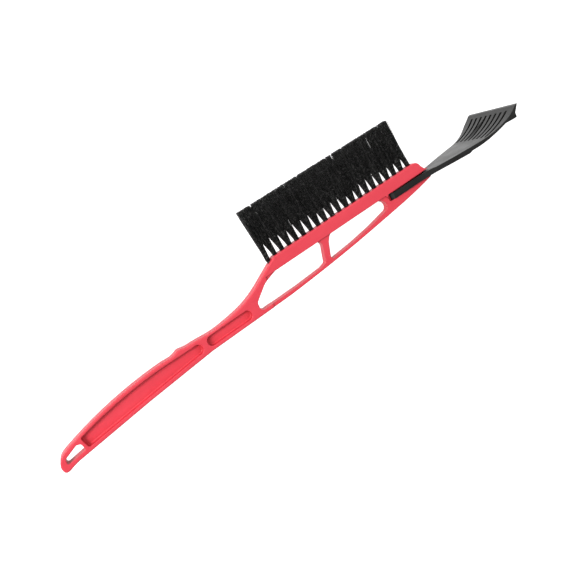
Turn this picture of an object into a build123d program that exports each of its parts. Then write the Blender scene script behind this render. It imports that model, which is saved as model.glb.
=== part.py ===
from build123d import *
import os

# Snow brush with an ice scraper. Working axes, in mm: x runs from the butt of the grip to the
# scraping edge, y from the face that the bristles stand on towards their tips, z from the
# mid-plane of the flat handle towards one of its two like sides. PLACE moves everything into the
# part's own frame: lying on its side, +Z up, origin under the middle of the whole object.

# Driving dimensions
LENGTH = 611.4            # butt to scraping edge
THICKNESS = 12.0          # grip, neck and head bar, side to side
TRUSS_THICKNESS = 9.2     # strut, lower rails and lower jaw, side to side
BAR_HEIGHT = 13.7         # head bar, bristle face to underside
GRIP_DROP = 65.8          # bristle face to the lowest point of the butt
EDGE_ROUND = 1.25         # rounding of the handle's outer edges
RIM_ROUND = 0.6           # rounding round the hole, the pockets, the rear opening and the truss
WEB_THICKNESS = 1.8       # web left between the pockets of the two sides
POCKET_DRAFT = 3.0        # degrees of draft on the pocket walls

TUFT_COUNT = 21
TUFT_PITCH = 9.75
TUFT_BORE = 4.6           # diameter of the blind hole that holds a tuft
TUFT_BORE_DEPTH = 9.6
TUFT_GAP = 0.35           # left between spread neighbours
TUFT_SPREAD_END = 17.0    # height at which a tuft has spread to its neighbours
TUFT_TIP_WIDTH = 12.8     # across the brush at the tips
TUFT_LEAN = -1.5          # the tips lean this far towards the grip
BRISTLE_HEIGHT = 58.6     # free length of the first tuft
TIP_FALL = 1.6            # how much shorter the last tuft is
FLEX_GAP = 1.2            # between the bristle face and the flexing part of a tuft

BLADE_WIDTH = 88.0
BLADE_THICKNESS = 7.0     # of the tongue in its slot
GROOVE_COUNT = 8
GROOVE_DEPTH = 2.3        # on the flat; it runs out towards the scraping edge
GROOVE_SHARE = 0.42       # groove width over groove pitch

# Places worked out from them
FIRST_TUFT = 284.8
TUFT_X = [FIRST_TUFT + i * TUFT_PITCH for i in range(TUFT_COUNT)]
SLOT_START = 438.4
JAW_END = 498.0
SLOT_TOP = -BAR_HEIGHT
TONGUE_TOP = -15.4
TONGUE_BOTTOM = TONGUE_TOP - BLADE_THICKNESS
BLADE_TOP = TONGUE_TOP - 1.0        # outside the slot the blade is thinner than its tongue
TONGUE_START = SLOT_START + 4.1
BLADE_BEND = 558.0        # where the blade's flat top starts to curve up
EDGE_X = 610.0
EDGE_TOP = 0.2            # height of the scraping edge
EDGE_LAND = 3.2           # width of the blunt face along the scraping edge
BUTT_X = EDGE_X - LENGTH
PLACE = Location((-(EDGE_X + BUTT_X) / 2, (GRIP_DROP - BRISTLE_HEIGHT) / 2, BLADE_WIDTH / 2))


def slab(face, thickness):
    """A flat face thickened equally to both sides of the mid-plane."""
    return extrude(face, thickness / 2, both=True)


def plan_prism(face, low, high):
    """A face drawn in (x, z) and symmetric in z, raised along y from low to high."""
    return Pos(0, low, 0) * Rot(-90, 0, 0) * extrude(face, high - low)


def rounded_polygon(points, radii):
    """A closed outline of straight sides with an arc at every corner."""
    return make_face(FilletPolyline(*points, radius=radii, close=True))


# ---------------------------------------------------------------- handle

def handle_outline():
    """Side outline of the one-piece handle, before any hole is cut."""
    butt_top = (12.0, -45.9)
    butt_back = (BUTT_X, -60.6)
    butt_tip = (2.4, -GRIP_DROP)
    heel = (16.0, -62.8)
    grip_under = (104.0, -53.9)
    grip_front = (133.6, -27.9)
    guard_peak = (155.5, -26.2)
    grip_end = (184.0, -47.6)
    rail_bend = (285.0, -46.2)
    jaw_tip = (JAW_END, -24.1)
    face_start = (292.5, 0.0)
    face_end = (483.0, 0.0)
    nose_front = (491.0, -7.0)

    heel_curve = Spline(butt_tip, (7.2, -64.9), heel, tangents=[(1.0, 0.0), (1.0, 0.19)])
    lower = Polyline(heel, grip_under, grip_end, rail_bend)
    rail = Spline(rail_bend, (336.0, -43.3), (384.0, -39.3), (432.0, -34.1), (468.0, -29.6), jaw_tip)
    jaw = Polyline(jaw_tip, (JAW_END, SLOT_TOP), (494.0, -11.8), nose_front)
    nose = ThreePointArc(nose_front, (488.8, -2.4), face_end)
    face = Line(face_end, face_start)
    neck = Spline(face_start, (286.6, -2.1), (276.0, -7.6), (264.0, -13.6), (251.8, -19.3),
                  (233.8, -25.2), (212.0, -28.6), (193.0, -29.8), (170.0, -28.1), guard_peak,
                  tangents=[(-1.0, 0.0), (-1.0, 0.25)])
    guard = Spline(guard_peak, (150.5, -27.1), (145.5, -28.3), grip_front,
                   tangents=[neck % 1, (-1.0, 0.02)])
    grip = ThreePointArc(grip_front, (63.6, -34.0), butt_top)
    butt = Spline(butt_top, (4.4, -49.6), (0.2, -54.9), butt_back, (-0.4, -64.4), butt_tip,
                  tangents=[grip % 1, (1.0, 0.0)])
    return make_face([heel_curve, *lower.edges(), rail, *jaw.edges(), nose, face, neck, guard, grip,
                      butt])


def hanging_hole():
    """Rounded five-sided hole through the butt."""
    corners = [(7.0, -53.2), (22.6, -47.6), (26.7, -49.2), (27.6, -56.9), (5.6, -59.7)]
    return rounded_polygon(corners, [2.6, 2.6, 2.4, 2.2, 1.8])


def rear_opening():
    """The opening between neck and strut."""
    corners = [(249.0, -42.5), (298.0, -42.1), (331.0, -40.6), (338.0, -38.6),
               (347.3, -BAR_HEIGHT), (285.6, -BAR_HEIGHT), (268.0, -18.9), (250.4, -31.8)]
    return rounded_polygon(corners, [5.0, 60.0, 8.0, 2.6, 6.0, 20.0, 20.0, 5.0])


def front_opening():
    """The opening between strut and slot."""
    corners = [(344.8, -39.3), (352.4, -20.6), (357.8, -BAR_HEIGHT), (427.0, -BAR_HEIGHT),
               (433.4, -19.8), (432.9, -27.4), (404.4, -33.1), (376.0, -36.9)]
    return rounded_polygon(corners, [3.0, 8.0, 7.0, 9.0, 6.0, 5.0, 60.0, 90.0])


def grip_pocket():
    """Long pocket in the grip: a wall of even thickness all round, with a round front end."""
    back_high, back_low = (29.3, -44.2), (31.2, -56.9)
    upper_end = (133.6, -31.6)
    front_top, front_bottom = (169.6, -32.3), (170.6, -43.7)
    outline = make_face([
        ThreePointArc(back_high, (81.4, -34.9), upper_end),
        Line(upper_end, front_top),
        ThreePointArc(front_top, (177.2, -38.4), front_bottom),
        Line(front_bottom, back_low),
        Line(back_low, back_high),
    ])
    return fillet(outline.vertices().sort_by(Axis.X)[:2], 2.4)


def neck_pocket():
    """Short pocket with round ends, between the guard and the neck."""
    return Pos(211.4, -37.6) * Rot(0, 0, 0.5) * SlotOverall(55.6, 11.4)


def pocket_cuts(face):
    """A pair of pockets sunk from both sides to the web, with drafted walls and rounded floors."""
    depth = (THICKNESS - WEB_THICKNESS) / 2
    cut = Pos(0, 0, THICKNESS / 2) * extrude(face, -depth, taper=POCKET_DRAFT)
    floor_edges = cut.edges().group_by(Axis.Z)[0]
    cut = fillet(floor_edges, 1.5)
    return [cut, mirror(cut, Plane.XY)]


def truss_region():
    """Everything below the head bar from the neck forward, where the handle is thinner."""
    low = -GRIP_DROP
    front = JAW_END + 5.0
    jaw_level = TONGUE_BOTTOM + 1.2
    return make_face(Polyline((258.0, low), (272.0, -BAR_HEIGHT), (436.0, -BAR_HEIGHT),
                              (441.0, jaw_level), (front, jaw_level), (front, low), close=True))


def round_rims(body, face, thickness, radius):
    """Round the edges that run along the border of a face, on both sides of the given thickness."""
    border = face.face().outer_wire()
    edges = body.edges().filter_by(lambda e: abs(abs(e.center().Z) - thickness / 2) < 0.01)
    edges = edges.filter_by(
        lambda e: border.distance_to(Vertex(e.position_at(0.5).X, e.position_at(0.5).Y, 0)) < 0.02)
    return fillet(edges, radius)


def slot_cut():
    """Through slot for the blade's tongue. A web closes its inner end, and a land along the
    middle of its roof grips the tongue."""
    through = THICKNESS + 4.0
    height = SLOT_TOP - TONGUE_BOTTOM
    length = JAW_END + 10.0 - SLOT_START
    body = Pos(SLOT_START + length / 2, SLOT_TOP - height / 2, 0) * Box(length, height, through)
    body = fillet(body.edges().filter_by(Axis.Z).group_by(Axis.X)[0], 2.6)
    web_length = TONGUE_START - SLOT_START
    web = Pos(SLOT_START + web_length / 2, SLOT_TOP - height / 2, 0) * Box(
        web_length, height, WEB_THICKNESS)
    land_height = SLOT_TOP - TONGUE_TOP
    land_length, land_width = 44.0, 5.0
    land = Pos(SLOT_START + 8.0 + land_length / 2, SLOT_TOP - land_height / 2, 0) * Box(
        land_length, land_height, land_width)
    return body - web - land


def tuft_plug(x, radius, depth):
    """A round plug standing below the bristle face at one tuft."""
    plug = Cylinder(radius, depth, align=(Align.CENTER, Align.CENTER, Align.MIN))
    return Pos(x, 0, 0) * Rot(90, 0, 0) * plug


def make_handle():
    outline = handle_outline()
    body = round_rims(slab(outline, THICKNESS), outline, THICKNESS, EDGE_ROUND)
    body -= slab(hanging_hole(), THICKNESS + 4.0)
    body = round_rims(body, hanging_hole(), THICKNESS, RIM_ROUND)
    for face in (grip_pocket(), neck_pocket()):
        for cut in pocket_cuts(face):
            body -= cut
        body = round_rims(body, face, THICKNESS, RIM_ROUND)
    recess = (THICKNESS - TRUSS_THICKNESS) / 2
    for side in (1, -1):
        level = side * (THICKNESS - recess) / 2
        body -= Pos(0, 0, level) * slab(truss_region(), recess)
    for face in (rear_opening(), front_opening()):
        body -= slab(face, THICKNESS + 4.0)
    body = round_rims(body, rear_opening(), THICKNESS, RIM_ROUND)
    body = round_rims(body, outline, TRUSS_THICKNESS, RIM_ROUND)
    body -= slot_cut()
    for x in TUFT_X:
        body -= tuft_plug(x, TUFT_BORE / 2, TUFT_BORE_DEPTH)
    return body


# ---------------------------------------------------------------- scraper blade

def blade_profile():
    """Side profile: a flat tongue that curves up to the scraping edge, with a chipping lip below."""
    bend = (BLADE_BEND, BLADE_TOP)
    crest = (EDGE_X - EDGE_LAND, EDGE_TOP - 0.5)
    rise, reach = crest[1] - bend[1], crest[0] - bend[0]
    radius = (reach ** 2 + rise ** 2) / (2 * rise)
    top = Polyline((TONGUE_START, TONGUE_TOP), (JAW_END, TONGUE_TOP), (JAW_END + 8.0, BLADE_TOP), bend)
    bow = RadiusArc(bend, crest, -radius)
    front = Polyline(crest, (EDGE_X, EDGE_TOP), (603.2, -8.2), (603.2, -12.6), (601.8, -13.0),
                     (589.0, -12.8))
    belly = ThreePointArc((589.0, -12.8), (570.0, -18.8), (546.0, -20.9))
    under = Polyline((546.0, -20.9), (542.0, -22.3), (JAW_END + 4.0, TONGUE_BOTTOM + 0.6),
                     (TONGUE_START, TONGUE_BOTTOM), (TONGUE_START, TONGUE_TOP))
    return make_face([*top.edges(), bow, *front.edges(), belly, *under.edges()])


def blade_plan():
    """Plan outline in x and z: a narrow, bevelled tongue that fans out to the full width."""
    half = [(480.0, 7.0), (499.0, 11.4), (521.0, 19.2), (550.0, 27.9), (572.0, 33.6), (588.0, 39.9),
            (600.0, 43.5)]
    start = (TONGUE_START, 1.8)
    front = (EDGE_X, BLADE_WIDTH / 2)
    tongue = Polyline(start, (TONGUE_START + 3.5, 5.4), half[0])
    fan = Spline(*half, tangents=[(1.0, 0.12), (1.0, 0.1)])
    close = Polyline(half[-1], front, (EDGE_X, 0.0), (TONGUE_START, 0.0), start)
    upper_half = make_face([*tongue.edges(), fan, *close.edges()])
    return upper_half + mirror(upper_half, Plane.XZ)


def groove_cuts():
    """One long, slightly fanning cutter for each groove, following the curve of the top face."""
    start_x, end_x = 566.0, 602.4
    start_pitch, end_pitch = 7.8, 9.1
    start_half, end_half = GROOVE_SHARE * start_pitch / 2, GROOVE_SHARE * end_pitch / 2
    skin = slab(blade_profile(), BLADE_WIDTH)
    band = skin - Pos(-1.5, -GROOVE_DEPTH, 0) * skin
    cutters = []
    for i in range(GROOVE_COUNT):
        k = i - (GROOVE_COUNT - 1) / 2
        start, end = k * start_pitch, k * end_pitch
        plan = make_face(Polyline((start_x, start - start_half), (end_x, end - end_half),
                                  (end_x, end + end_half), (start_x, start + start_half),
                                  close=True))
        column = Pos(0, TONGUE_TOP - 3.0, 0) * Rot(-90, 0, 0) * extrude(plan, 25.0)
        cutters.append(band & column)
    return cutters


def make_blade():
    body = slab(blade_profile(), BLADE_WIDTH)
    body &= plan_prism(blade_plan(), TONGUE_BOTTOM - 5.0, EDGE_TOP + 5.0)
    for cutter in groove_cuts():
        body -= cutter
    return body


# ---------------------------------------------------------------- bristles

def tuft_height(index):
    return BRISTLE_HEIGHT - TIP_FALL * index / (TUFT_COUNT - 1)


def make_tuft(index):
    """The free, flexing part of one tuft: round at the root, spreading to a broad end."""
    x = TUFT_X[index]
    height = tuft_height(index)
    half_width = (TUFT_PITCH - TUFT_GAP) / 2
    stand = Plane(origin=(0, 0, 0), x_dir=(1, 0, 0), z_dir=(0, 1, 0))
    spread_x = x + TUFT_LEAN * TUFT_SPREAD_END / height
    root = stand.offset(FLEX_GAP) * Pos(x, 0) * Circle(TUFT_BORE / 2)
    spread = stand.offset(TUFT_SPREAD_END) * Pos(spread_x, 0) * Ellipse(half_width, half_width)
    end = stand.offset(height) * Pos(x + TUFT_LEAN, 0) * Ellipse(half_width, TUFT_TIP_WIDTH / 2)
    return loft([root, spread, end], ruled=True)


def anchor_plate(x):
    """Flat wire wedge that pins the folded tuft at the bottom of its hole."""
    plate_width, plate_height, plate_thickness = TUFT_BORE + 0.6, 1.6, 0.5
    return Pos(x, -TUFT_BORE_DEPTH + 2.4, 0) * Box(plate_width, plate_height, plate_thickness)


def make_anchors():
    return Compound([anchor_plate(x) for x in TUFT_X])


def make_roots():
    """The folded part of every tuft, inside its hole and round its anchor."""
    side_gap, end_gap = 0.05, 0.2
    roots = []
    for x in TUFT_X:
        plug = tuft_plug(x, TUFT_BORE / 2 - side_gap, TUFT_BORE_DEPTH - end_gap)
        roots.append(plug - anchor_plate(x))
    return Compound(roots)


# ---------------------------------------------------------------- export

def main():
    nodes = {
        "handle": make_handle(),
        "scraper_blade": make_blade(),
        "tuft_anchors": make_anchors(),
        "tuft_roots": make_roots(),
    }
    for index in range(TUFT_COUNT):
        nodes[f"bristle_tuft_{index + 1:02d}"] = make_tuft(index)
    os.makedirs("parts", exist_ok=True)
    for name, shape in nodes.items():
        export_step(PLACE * shape, f"parts/{name}.step")


main()
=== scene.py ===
import math
from collections import namedtuple

import bpy
import numpy as np
from mathutils import Matrix, Vector


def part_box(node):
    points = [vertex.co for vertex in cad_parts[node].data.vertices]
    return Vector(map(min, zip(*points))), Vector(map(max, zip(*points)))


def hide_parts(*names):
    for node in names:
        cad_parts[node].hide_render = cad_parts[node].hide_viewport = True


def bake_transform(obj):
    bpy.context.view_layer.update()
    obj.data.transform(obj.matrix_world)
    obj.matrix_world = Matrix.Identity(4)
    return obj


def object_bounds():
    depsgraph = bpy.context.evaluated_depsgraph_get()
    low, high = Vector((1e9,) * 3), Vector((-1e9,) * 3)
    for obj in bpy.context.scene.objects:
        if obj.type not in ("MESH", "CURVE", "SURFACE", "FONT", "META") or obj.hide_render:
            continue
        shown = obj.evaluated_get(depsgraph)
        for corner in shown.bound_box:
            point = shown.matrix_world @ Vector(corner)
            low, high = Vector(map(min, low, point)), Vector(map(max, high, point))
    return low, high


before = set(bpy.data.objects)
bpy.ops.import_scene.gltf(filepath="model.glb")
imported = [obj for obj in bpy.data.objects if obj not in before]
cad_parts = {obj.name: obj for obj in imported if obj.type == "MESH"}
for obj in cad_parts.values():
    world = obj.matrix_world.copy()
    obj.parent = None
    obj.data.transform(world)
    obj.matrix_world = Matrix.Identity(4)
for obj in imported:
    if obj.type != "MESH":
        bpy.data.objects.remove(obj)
cad_low, cad_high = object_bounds()

# Looks for a snow brush with an ice scraper. Everything is in metres, in the CAD frame: +X along
# the tool towards the scraping edge, +Y from the handle towards the bristle tips, +Z up.

# Driving values
TUFT_COUNT = 21
FILAMENTS = 150                 # filaments in each tuft
FILAMENT_RADIUS = 0.00027
ROOT_DEPTH = 0.0015             # how far below the bristle face a filament starts
ROOT_SPREAD = 0.0025            # radius of the bundle in its hole
SPREAD_X = 0.0076               # half the bundle's reach along the brush at the tips
SPREAD_Z = 0.0056               # and across it
SPREAD_POWER = 2.6              # how early a filament bends away from its neighbours
STRAIGHT_START = 0.22           # share of its length over which it first stays upright
SPREAD_JITTER = 0.28            # how much the tufts differ in reach
TIP_ROUGHNESS = 0.00022         # how uneven the trimmed tips are
SHORT_SHARE = 0.03              # share of the filaments that end below the others
SHORT_BY = (0.001, 0.004)       # and by how much
TUFT_DRIFT = 0.0004             # how far a tuft's tips stray as a whole
TIP_DRIFT_X = 0.0007            # how far single tips stray along the brush
TIP_DRIFT_Z = 0.0004            # and across it
END_RAGGED = 0.004              # depth of the loose filaments at the two ends of the brush
SWAY = 0.00035                  # waviness of a filament at its tip
# Partings in the tips: place as a share of the brush's length, and depth
NOTCHES = ((0.08, 0.003), (0.385, 0.003), (0.58, 0.003), (0.62, 0.008), (0.69, 0.0025), (0.94, 0.003))
NOTCH_HALF = 0.0010             # half the width of a gap in the tips
NOTCH_SLANT = 0.24              # the gaps run slightly askew across the brush
FIELD_MARGIN = 0.0003           # the outer filaments stay this far inside the brush's ends
BACK_MARGIN = 0.003             # and their tips this far, at the grip's end
FRONT_MARGIN = 0.004            # and at the blade's end
RINGS = 9
RING_POWER = 1.6                # rings crowd towards the root, where the filaments bend
SIDES = 5
TIP_TAPER = 0.86                # thickness of a filament's tip over that of its root
FIRST_SEED = 500
STUDIO_RADIUS = 6.0
STUDIO_STEPS = 48
FLOOR_GAP = 0.0005              # between the floor and the lowest point of the tool
TOWARDS_SKY = (-0.40, 0.90, 0.10)    # the side that the soft light comes from
CAMERA_PLACE = (-0.17571, 0.14892, 0.69736)
CAMERA_RIGHT = (0.8028, -0.4933, 0.3349)
CAMERA_BACK = (-0.2286, 0.2641, 0.9370)
CAMERA_LENS = 40.53

# Where the roots stand along the tool, where the tips end, and the brush's outer limits
Field = namedtuple("Field", "root_low root_high tip_low tip_high low high")


# ---------------------------------------------------------------- node helpers

def new_material(name):
    """An empty material with its principled shader."""
    material = bpy.data.materials.new(name)
    material.use_nodes = True
    tree = material.node_tree
    return material, tree.nodes, tree.links, tree.nodes["Principled BSDF"]


def noise(nodes, links, coords, scale, detail=3.0, roughness=0.5):
    node = nodes.new("ShaderNodeTexNoise")
    node.inputs["Scale"].default_value = scale
    node.inputs["Detail"].default_value = detail
    node.inputs["Roughness"].default_value = roughness
    links.new(coords, node.inputs["Vector"])
    return node.outputs["Fac"]


def ramp(nodes, links, value, stops):
    """A colour ramp through (position, (r, g, b)) stops."""
    node = nodes.new("ShaderNodeValToRGB")
    elements = node.color_ramp.elements
    while len(elements) < len(stops):
        elements.new(0.5)
    for element, (position, colour) in zip(elements, stops):
        element.position = position
        element.color = (*colour, 1.0)
    links.new(value, node.inputs["Fac"])
    return node.outputs["Color"]


def remap(nodes, links, value, low, high, source_low=0.3, source_high=0.7):
    """Scale a value from its source range, by default that of a noise, to the given one."""
    node = nodes.new("ShaderNodeMapRange")
    node.inputs["From Min"].default_value = source_low
    node.inputs["From Max"].default_value = source_high
    node.inputs["To Min"].default_value = low
    node.inputs["To Max"].default_value = high
    links.new(value, node.inputs["Value"])
    return node.outputs["Result"]


def rounded_normal(nodes, radius):
    """A normal that turns smoothly over sharp edges, as on a moulded part."""
    node = nodes.new("ShaderNodeBevel")
    node.samples = 6
    node.inputs["Radius"].default_value = radius
    return node.outputs["Normal"]


def bump(nodes, links, heights, strength, distance, bsdf, normal=None):
    """Chain one bump node for each height signal, on top of a normal if one is given."""
    for height, share in heights:
        node = nodes.new("ShaderNodeBump")
        node.inputs["Strength"].default_value = strength * share
        node.inputs["Distance"].default_value = distance
        links.new(height, node.inputs["Height"])
        if normal is not None:
            links.new(normal, node.inputs["Normal"])
        normal = node.outputs["Normal"]
    links.new(normal, bsdf.inputs["Normal"])


def object_coords(nodes):
    return nodes.new("ShaderNodeTexCoord").outputs["Object"]


def stretched(nodes, links, coords, scale):
    node = nodes.new("ShaderNodeMapping")
    node.inputs["Scale"].default_value = scale
    links.new(coords, node.inputs["Vector"])
    return node.outputs["Vector"]


def mix_colour(nodes, links, factor, first, second):
    node = nodes.new("ShaderNodeMix")
    node.data_type = "RGBA"
    links.new(factor, node.inputs["Factor"])
    for socket, colour in ((node.inputs["A"], first), (node.inputs["B"], second)):
        if isinstance(colour, tuple):
            socket.default_value = (*colour, 1.0)
        else:
            links.new(colour, socket)
    return node.outputs["Result"]


def convex_edges(nodes, links, reach):
    """Near 1 on sharp outer edges and corners, 0 on flats."""
    node = nodes.new("ShaderNodeAmbientOcclusion")
    node.inside = True
    node.only_local = True
    node.samples = 8
    node.inputs["Distance"].default_value = reach
    return remap(nodes, links, node.outputs["AO"], 1.0, 0.0, 0.35, 0.8)


def openness(nodes, links, reach):
    """0 deep in hollows and narrow gaps, 1 on open faces."""
    node = nodes.new("ShaderNodeAmbientOcclusion")
    node.samples = 8
    node.inputs["Distance"].default_value = reach
    return remap(nodes, links, node.outputs["AO"], 0.0, 1.0, 0.15, 0.85)


def product(nodes, links, first, second):
    """Two values multiplied; either may be a plain number."""
    node = nodes.new("ShaderNodeMath")
    node.operation = "MULTIPLY"
    for socket, value in zip(node.inputs, (first, second)):
        if isinstance(value, float):
            socket.default_value = value
        else:
            links.new(value, socket)
    return node.outputs[0]


# ---------------------------------------------------------------- materials

def red_plastic():
    """Moulded red plastic: faint flow marks and a fine skin, with painted shade along the outer edges, deep
    in hollows and on the reflections there.
    """
    material, nodes, links, bsdf = new_material("handle_plastic_look")
    coords = object_coords(nodes)
    flow = noise(nodes, links, stretched(nodes, links, coords, (14.0, 55.0, 55.0)), 1.0, 4.0)
    body = ramp(nodes, links, flow, [(0.3, (0.78, 0.045, 0.072)), (0.7, (0.84, 0.058, 0.088))])
    # Painted shade: a darker red along the outer edges, broken up by a fine noise.
    edges = convex_edges(nodes, links, 0.0015)
    mottle = noise(nodes, links, coords, 900.0, 2.0)
    painted_edge_shade = product(nodes, links, edges, remap(nodes, links, mottle, 0.35, 0.6))
    edge_shaded_body = mix_colour(nodes, links, painted_edge_shade, body, (0.50, 0.032, 0.065))
    # Painted shade: a dark brownish red deep in hollows, corners and narrow gaps.
    painted_hollow_shade = openness(nodes, links, 0.009)
    links.new(mix_colour(nodes, links, painted_hollow_shade, (0.34, 0.012, 0.009), edge_shaded_body), bsdf.inputs["Base Color"])
    # Painted shade: the reflection is dimmed in hollows and narrow gaps.
    links.new(product(nodes, links, openness(nodes, links, 0.012), 0.5), bsdf.inputs["Specular IOR Level"])
    skin = noise(nodes, links, coords, 2600.0, 2.0)
    links.new(remap(nodes, links, noise(nodes, links, coords, 160.0), 0.36, 0.46), bsdf.inputs["Roughness"])
    rounded = rounded_normal(nodes, 0.0010)
    bump(nodes, links, [(skin, 1.0), (flow, 0.6)], 0.10, 0.0002, bsdf, rounded)
    bsdf.inputs["IOR"].default_value = 1.46
    return material


def black_plastic():
    """Black satin plastic of the blade, with fine scraping marks along the tool and painted shade on its
    reflections in grooves and gaps.
    """
    material, nodes, links, bsdf = new_material("blade_plastic_look")
    coords = object_coords(nodes)
    cloud = noise(nodes, links, coords, 60.0, 4.0)
    body = ramp(nodes, links, cloud, [(0.3, (0.004, 0.004, 0.0037)), (0.7, (0.008, 0.008, 0.0075))])
    marks = noise(nodes, links, stretched(nodes, links, coords, (60.0, 900.0, 900.0)), 1.0, 3.0)
    scratch = remap(nodes, links, marks, 0.0, 1.0, 0.60, 0.72)
    edges = convex_edges(nodes, links, 0.0009)
    wear = nodes.new("ShaderNodeMath")
    wear.operation = "MAXIMUM"
    links.new(remap(nodes, links, edges, 0.0, 0.22, 0.0, 1.0), wear.inputs[0])
    links.new(remap(nodes, links, scratch, 0.0, 0.06, 0.0, 1.0), wear.inputs[1])
    links.new(mix_colour(nodes, links, wear.outputs[0], body, (0.10, 0.10, 0.098)), bsdf.inputs["Base Color"])
    links.new(remap(nodes, links, cloud, 0.30, 0.42), bsdf.inputs["Roughness"])
    skin = noise(nodes, links, coords, 2200.0, 2.0)
    rounded = rounded_normal(nodes, 0.0004)
    bump(nodes, links, [(skin, 1.0), (scratch, 0.8)], 0.12, 0.00015, bsdf, rounded)
    # Painted shade: the reflection is dimmed in the grooves and narrow gaps.
    links.new(product(nodes, links, openness(nodes, links, 0.005), 0.35), bsdf.inputs["Specular IOR Level"])
    return material


def filament_plastic():
    """Black drawn filament: each one its own shade, with faint draw lines and small painted glints."""
    material, nodes, links, bsdf = new_material("bristle_look")
    strand = nodes.new("ShaderNodeAttribute")
    strand.attribute_name = "strand"
    coords = object_coords(nodes)
    body = ramp(nodes, links, strand.outputs["Fac"],
                [(0.0, (0.001, 0.001, 0.001)), (0.7, (0.003, 0.003, 0.003)), (1.0, (0.030, 0.030, 0.029))])
    # Painted glints: small lighter grey specks scattered over the filaments.
    painted_glints = remap(nodes, links, noise(nodes, links, coords, 520.0, 2.0, 0.6), 0.0, 1.0, 0.55, 0.63)
    body = mix_colour(nodes, links, painted_glints, body, (0.082, 0.082, 0.080))
    lines = noise(nodes, links, stretched(nodes, links, coords, (3500.0, 220.0, 3500.0)), 1.0, 2.0)
    links.new(mix_colour(nodes, links, remap(nodes, links, lines, 0.0, 0.3), body, (0.005, 0.005, 0.0049)),
              bsdf.inputs["Base Color"])
    bsdf.inputs["Specular IOR Level"].default_value = 0.14
    links.new(remap(nodes, links, lines, 0.30, 0.5), bsdf.inputs["Roughness"])
    bump(nodes, links, [(lines, 1.0)], 0.2, 0.00004, bsdf)
    return material


def drawn_wire():
    """Flat steel wire with draw lines along its length."""
    material, nodes, links, bsdf = new_material("anchor_wire_look")
    coords = object_coords(nodes)
    lines = noise(nodes, links, stretched(nodes, links, coords, (300.0, 6000.0, 6000.0)), 1.0, 3.0)
    body = ramp(nodes, links, lines, [(0.3, (0.42, 0.42, 0.41)), (0.7, (0.60, 0.60, 0.58))])
    links.new(body, bsdf.inputs["Base Color"])
    links.new(remap(nodes, links, lines, 0.25, 0.45), bsdf.inputs["Roughness"])
    bump(nodes, links, [(lines, 1.0)], 0.2, 0.00003, bsdf)
    bsdf.inputs["Metallic"].default_value = 1.0
    return material


def pale_floor():
    """A light, even studio floor."""
    material, nodes, links, bsdf = new_material("floor_look")
    body = ramp(nodes, links, noise(nodes, links, object_coords(nodes), 3.0),
                [(0.3, (0.38, 0.38, 0.38)), (0.7, (0.40, 0.40, 0.40))])
    links.new(body, bsdf.inputs["Base Color"])
    bsdf.inputs["Roughness"].default_value = 0.8
    bsdf.inputs["Emission Color"].default_value = (1.0, 1.0, 1.0, 1.0)
    bsdf.inputs["Emission Strength"].default_value = 1.05
    return material


def paint(name, material):
    """Give a carried-over CAD node its finished material."""
    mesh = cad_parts[name].data
    mesh.materials.clear()
    mesh.materials.append(material)


# ---------------------------------------------------------------- bristles

def disc_points(count, rng):
    """Points spread evenly over a unit disc, slightly disturbed."""
    index = np.arange(count) + 0.5
    radius = np.sqrt(index / count)
    angle = index * math.pi * (3.0 - math.sqrt(5.0)) + rng.uniform(0.0, 2.0 * math.pi)
    points = np.stack([radius * np.cos(angle), radius * np.sin(angle)], axis=1)
    return points + rng.normal(0.0, 0.03, points.shape)


def tip_heights(top_y, rng):
    """Heights of one tuft's tips: nearly even, with a few short filaments."""
    tip_y = top_y - np.abs(rng.normal(0.0, TIP_ROUGHNESS, FILAMENTS))
    short = rng.random(FILAMENTS) < SHORT_SHARE
    tip_y[short] -= rng.uniform(*SHORT_BY, short.sum())
    return tip_y


def tip_places(root_x, disc, field, rng):
    """Where one tuft's tips end along the brush, kept within the span of the tips."""
    share = (root_x - field.root_low) / (field.root_high - field.root_low)
    centre = field.tip_low + share * (field.tip_high - field.tip_low)
    spread = SPREAD_X * rng.uniform(1.0 - SPREAD_JITTER, 1.0 + SPREAD_JITTER)
    end_x = centre + rng.normal(0.0, TUFT_DRIFT) + disc[:, 0] * spread
    end_x += rng.normal(0.0, TIP_DRIFT_X, FILAMENTS)
    end_x = np.clip(end_x, field.tip_low, field.tip_high)
    at_low = end_x <= field.tip_low
    at_end = at_low | (end_x >= field.tip_high)
    inward = rng.uniform(0.0, END_RAGGED, FILAMENTS) * at_end
    return end_x + np.where(at_low, inward, -inward)


def cut_notches(tip_y, end_x, across, field):
    """Lower the tips where the brush has a parting."""
    for place, depth in NOTCHES:
        notch_x = field.tip_low + place * (field.tip_high - field.tip_low) - NOTCH_SLANT * across
        offset = np.abs(end_x - notch_x)
        inside = offset < NOTCH_HALF
        tip_y[inside] -= depth * (1.0 - (offset[inside] / NOTCH_HALF) ** 2)


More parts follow.
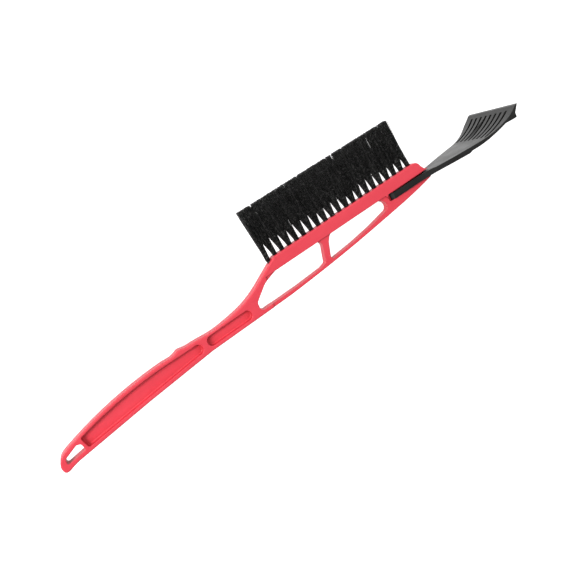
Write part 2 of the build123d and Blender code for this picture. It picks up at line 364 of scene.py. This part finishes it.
def filament_paths(index, face_y, field, rng):
    """Centre lines of one tuft's filaments, as an array of (filament, ring, xyz)."""
    low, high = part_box(f"bristle_tuft_{index + 1:02d}")
    root_x = node_root_x(index)
    middle_z = (low.z + high.z) / 2
    disc = disc_points(FILAMENTS, rng)
    start_x = root_x + disc[:, 0] * ROOT_SPREAD
    start_z = middle_z + disc[:, 1] * ROOT_SPREAD
    tip_y = tip_heights(high.y, rng)
    end_x = tip_places(root_x, disc, field, rng)
    end_z = middle_z + disc[:, 1] * SPREAD_Z + rng.normal(0.0, TIP_DRIFT_Z, FILAMENTS)
    cut_notches(tip_y, end_x, end_z - middle_z, field)
    level = np.linspace(0.0, 1.0, RINGS) ** RING_POWER
    eased = level ** 2 / (level + STRAIGHT_START) * (1.0 + STRAIGHT_START)
    reach = 1.0 - (1.0 - eased) ** SPREAD_POWER
    paths = np.zeros((FILAMENTS, RINGS, 3))
    paths[:, :, 0] = start_x[:, None] + (end_x - start_x)[:, None] * reach
    paths[:, :, 1] = (face_y - ROOT_DEPTH) + (tip_y - face_y + ROOT_DEPTH)[:, None] * level
    paths[:, :, 2] = start_z[:, None] + (end_z - start_z)[:, None] * reach
    wave = rng.uniform(0.0, 2.0 * math.pi, (FILAMENTS, 2))
    turns = rng.uniform(1.0, 2.2, (FILAMENTS, 1)) * 2.0 * math.pi * level
    paths[:, :, 0] += SWAY * level * np.sin(turns + wave[:, :1])
    paths[:, :, 2] += SWAY * level * np.sin(turns + wave[:, 1:])
    paths[:, :, 0] = np.clip(paths[:, :, 0], field.low, field.high)
    return paths


def node_root_x(index):
    """Where a tuft stands along the tool, from the roots that sit in the handle's holes."""
    low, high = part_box("tuft_roots")
    radius = (high.z - low.z) / 2
    return low.x + radius + (high.x - low.x - 2 * radius) * index / (TUFT_COUNT - 1)


def brush_field():
    """Root span, tip span and outer limits of the brush along the tool."""
    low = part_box("bristle_tuft_01")[0].x + FIELD_MARGIN + FILAMENT_RADIUS
    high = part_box(f"bristle_tuft_{TUFT_COUNT:02d}")[1].x - FIELD_MARGIN - FILAMENT_RADIUS
    return Field(root_low=node_root_x(0), root_high=node_root_x(TUFT_COUNT - 1),
                 tip_low=low + BACK_MARGIN, tip_high=high - FRONT_MARGIN, low=low, high=high)


def tuft_mesh(name, paths, rng):
    """Thin round rods along the paths, closed at both ends."""
    count = paths.shape[0]
    angles = np.arange(SIDES) * 2.0 * math.pi / SIDES
    ring = np.stack([np.cos(angles), np.zeros(SIDES), np.sin(angles)], axis=1)
    taper = np.linspace(1.0, TIP_TAPER, RINGS)
    vertices = paths[:, :, None, :] + FILAMENT_RADIUS * taper[None, :, None, None] * ring[None, None]
    faces = []
    per_filament = RINGS * SIDES
    for filament in range(count):
        base = filament * per_filament
        for level in range(RINGS - 1):
            lower = base + level * SIDES
            for side in range(SIDES):
                after = (side + 1) % SIDES
                faces.append((lower + side, lower + SIDES + side, lower + SIDES + after, lower + after))
        faces.append(tuple(base + side for side in range(SIDES)))
        top = base + (RINGS - 1) * SIDES
        faces.append(tuple(top + side for side in reversed(range(SIDES))))
    mesh = bpy.data.meshes.new(name)
    mesh.from_pydata(vertices.reshape(-1, 3).tolist(), [], faces)
    mesh.polygons.foreach_set("use_smooth", [len(face) == 4 for face in faces])
    shade = np.repeat(rng.random(count), per_filament)
    attribute = mesh.attributes.new("strand", "FLOAT", "POINT")
    attribute.data.foreach_set("value", shade.astype(np.float32))
    mesh.update()
    return mesh


def make_tufts(material):
    """One piece of loose filaments for each tuft, bending from the handle into the brush."""
    face_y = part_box("tuft_roots")[1].y
    field = brush_field()
    for index in range(TUFT_COUNT):
        rng = np.random.default_rng(FIRST_SEED + index)
        name = f"tuft_filaments_{index + 1:02d}"
        mesh = tuft_mesh(name, filament_paths(index, face_y, field, rng), rng)
        mesh.materials.append(material)
        piece = bpy.data.objects.new(name, mesh)
        bpy.context.scene.collection.objects.link(piece)
        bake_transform(piece)
        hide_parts(f"bristle_tuft_{index + 1:02d}")


# ---------------------------------------------------------------- studio

def backdrop_piece(name, vertices, faces, material):
    """Part of the studio: seen by the camera and in reflections, and giving no light of its own."""
    mesh = bpy.data.meshes.new(name)
    mesh.from_pydata(vertices, [], faces)
    mesh.materials.append(material)
    piece = bpy.data.objects.new(name, mesh)
    piece.location.z = cad_low.z - FLOOR_GAP
    piece.visible_diffuse = False
    bpy.context.scene.collection.objects.link(piece)
    return piece


def make_backdrop():
    """A floor with a round wall far behind it."""
    material = pale_floor()
    steps = STUDIO_STEPS
    angles = [2 * math.pi * i / steps for i in range(steps)]
    painted_edge_shade = [(STUDIO_RADIUS * math.cos(angle), STUDIO_RADIUS * math.sin(angle)) for angle in angles]
    backdrop_piece("floor", [(x, y, 0.0) for x, y in painted_edge_shade], [tuple(range(steps))], material)
    wall = [(x, y, z) for z in (-STUDIO_RADIUS, STUDIO_RADIUS) for x, y in painted_edge_shade]
    sides = [(i, (i + 1) % steps, steps + (i + 1) % steps, steps + i) for i in range(steps)]
    wall_piece = backdrop_piece("wall", wall, sides, material)
    wall_piece.visible_shadow = False


def make_light(name, position, size, energy):
    data = bpy.data.lights.new(name, "AREA")
    data.shape = "DISK"
    data.size = size
    data.energy = energy
    light = bpy.data.objects.new(name, data)
    light.location = position
    target = Vector((0.0, 0.0, 0.04))
    light.rotation_euler = (target - Vector(position)).to_track_quat("-Z", "Y").to_euler()
    bpy.context.scene.collection.objects.link(light)


def make_world():
    """Soft light that is strongest from one side, weaker from overhead and dim from below."""
    world = bpy.data.worlds.new("studio")
    world.use_nodes = True
    nodes, links = world.node_tree.nodes, world.node_tree.links
    direction = nodes.new("ShaderNodeTexCoord").outputs["Generated"]
    towards = nodes.new("ShaderNodeVectorMath")
    towards.operation = "DOT_PRODUCT"
    towards.inputs[1].default_value = TOWARDS_SKY
    links.new(direction, towards.inputs[0])
    height = nodes.new("ShaderNodeSeparateXYZ")
    links.new(direction, height.inputs["Vector"])
    strength = nodes.new("ShaderNodeMath")
    strength.operation = "MULTIPLY"
    links.new(remap(nodes, links, towards.outputs["Value"], 0.06, 0.92, -0.7, 0.8), strength.inputs[0])
    links.new(remap(nodes, links, height.outputs["Z"], 0.25, 1.0, -0.25, 0.1), strength.inputs[1])
    links.new(strength.outputs[0], nodes["Background"].inputs["Strength"])
    nodes["Background"].inputs["Color"].default_value = (1.0, 1.0, 1.0, 1.0)
    bpy.context.scene.world = world


def make_camera():
    right = Vector(CAMERA_RIGHT).normalized()
    back = Vector(CAMERA_BACK).normalized()
    up = back.cross(right).normalized()
    right = up.cross(back)
    data = bpy.data.cameras.new("camera")
    data.lens = CAMERA_LENS
    data.sensor_width = 36.0
    camera = bpy.data.objects.new("camera", data)
    place = Matrix((right, up, back)).transposed().to_4x4()
    place.translation = Vector(CAMERA_PLACE)
    camera.matrix_world = place
    bpy.context.scene.collection.objects.link(camera)
    bpy.context.scene.camera = camera


def main():
    scene = bpy.context.scene
    scene.view_settings.view_transform = "Standard"
    bristle = filament_plastic()
    paint("handle", red_plastic())
    paint("scraper_blade", black_plastic())
    paint("tuft_roots", bristle)
    paint("tuft_anchors", drawn_wire())
    make_tufts(bristle)
    make_backdrop()
    make_world()
    make_light("key", (-1.3, 0.81, 1.29), 0.55, 23.5)
    make_light("top", (0.2, 0.5, 1.9), 1.4, 7.0)
    make_camera()


main()
